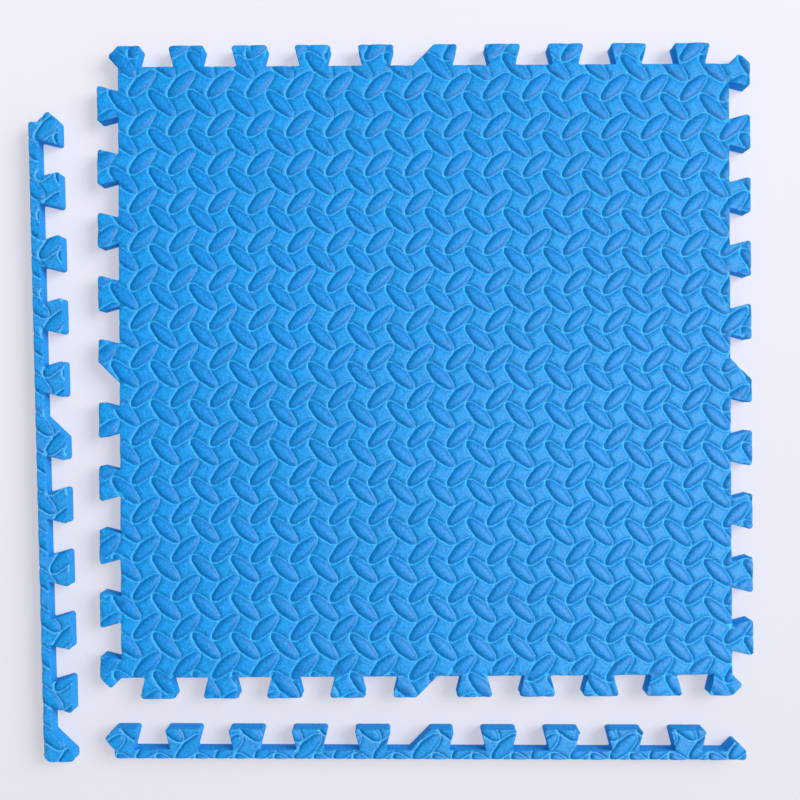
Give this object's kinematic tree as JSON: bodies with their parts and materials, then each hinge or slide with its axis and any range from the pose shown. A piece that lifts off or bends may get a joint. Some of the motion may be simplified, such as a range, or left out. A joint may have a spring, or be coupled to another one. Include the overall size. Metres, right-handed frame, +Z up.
{
  "type": "interlocking foam blocking mat",
  "caption": "Square blue EVA foam blocking mat with dovetail interlocking edges, and edging strips lying beside it.",
  "frame": {"origin": "centre of the mat tile's underside", "axes": "+Z up out of the patterned face, +X and +Y along the tile's edges; the straight strip lies on the -Y side and the corner strip on the -X side"},
  "size_m": [0.3427, 0.3407, 0.01],
  "materials": {
    "tile_foam": "matte embossed EVA foam",
    "edging_foam": "matte embossed EVA foam"
  },
  "bodies": {
    "tile": {"mat_tile": "tile_foam"},
    "corner_strip": {"corner_edging_strip": "edging_foam"},
    "straight_strip": {"edging_strip": "edging_foam"}
  },
  "joints": [
    {"name": "corner_strip_lift", "type": "slide", "parent": "tile", "child": "corner_strip", "axis": [0, 0, 1], "range_m": [0, 0.04]},
    {"name": "straight_strip_lift", "type": "slide", "parent": "tile", "child": "straight_strip", "axis": [0, 0, 1], "range_m": [0, 0.04]}
  ]
}
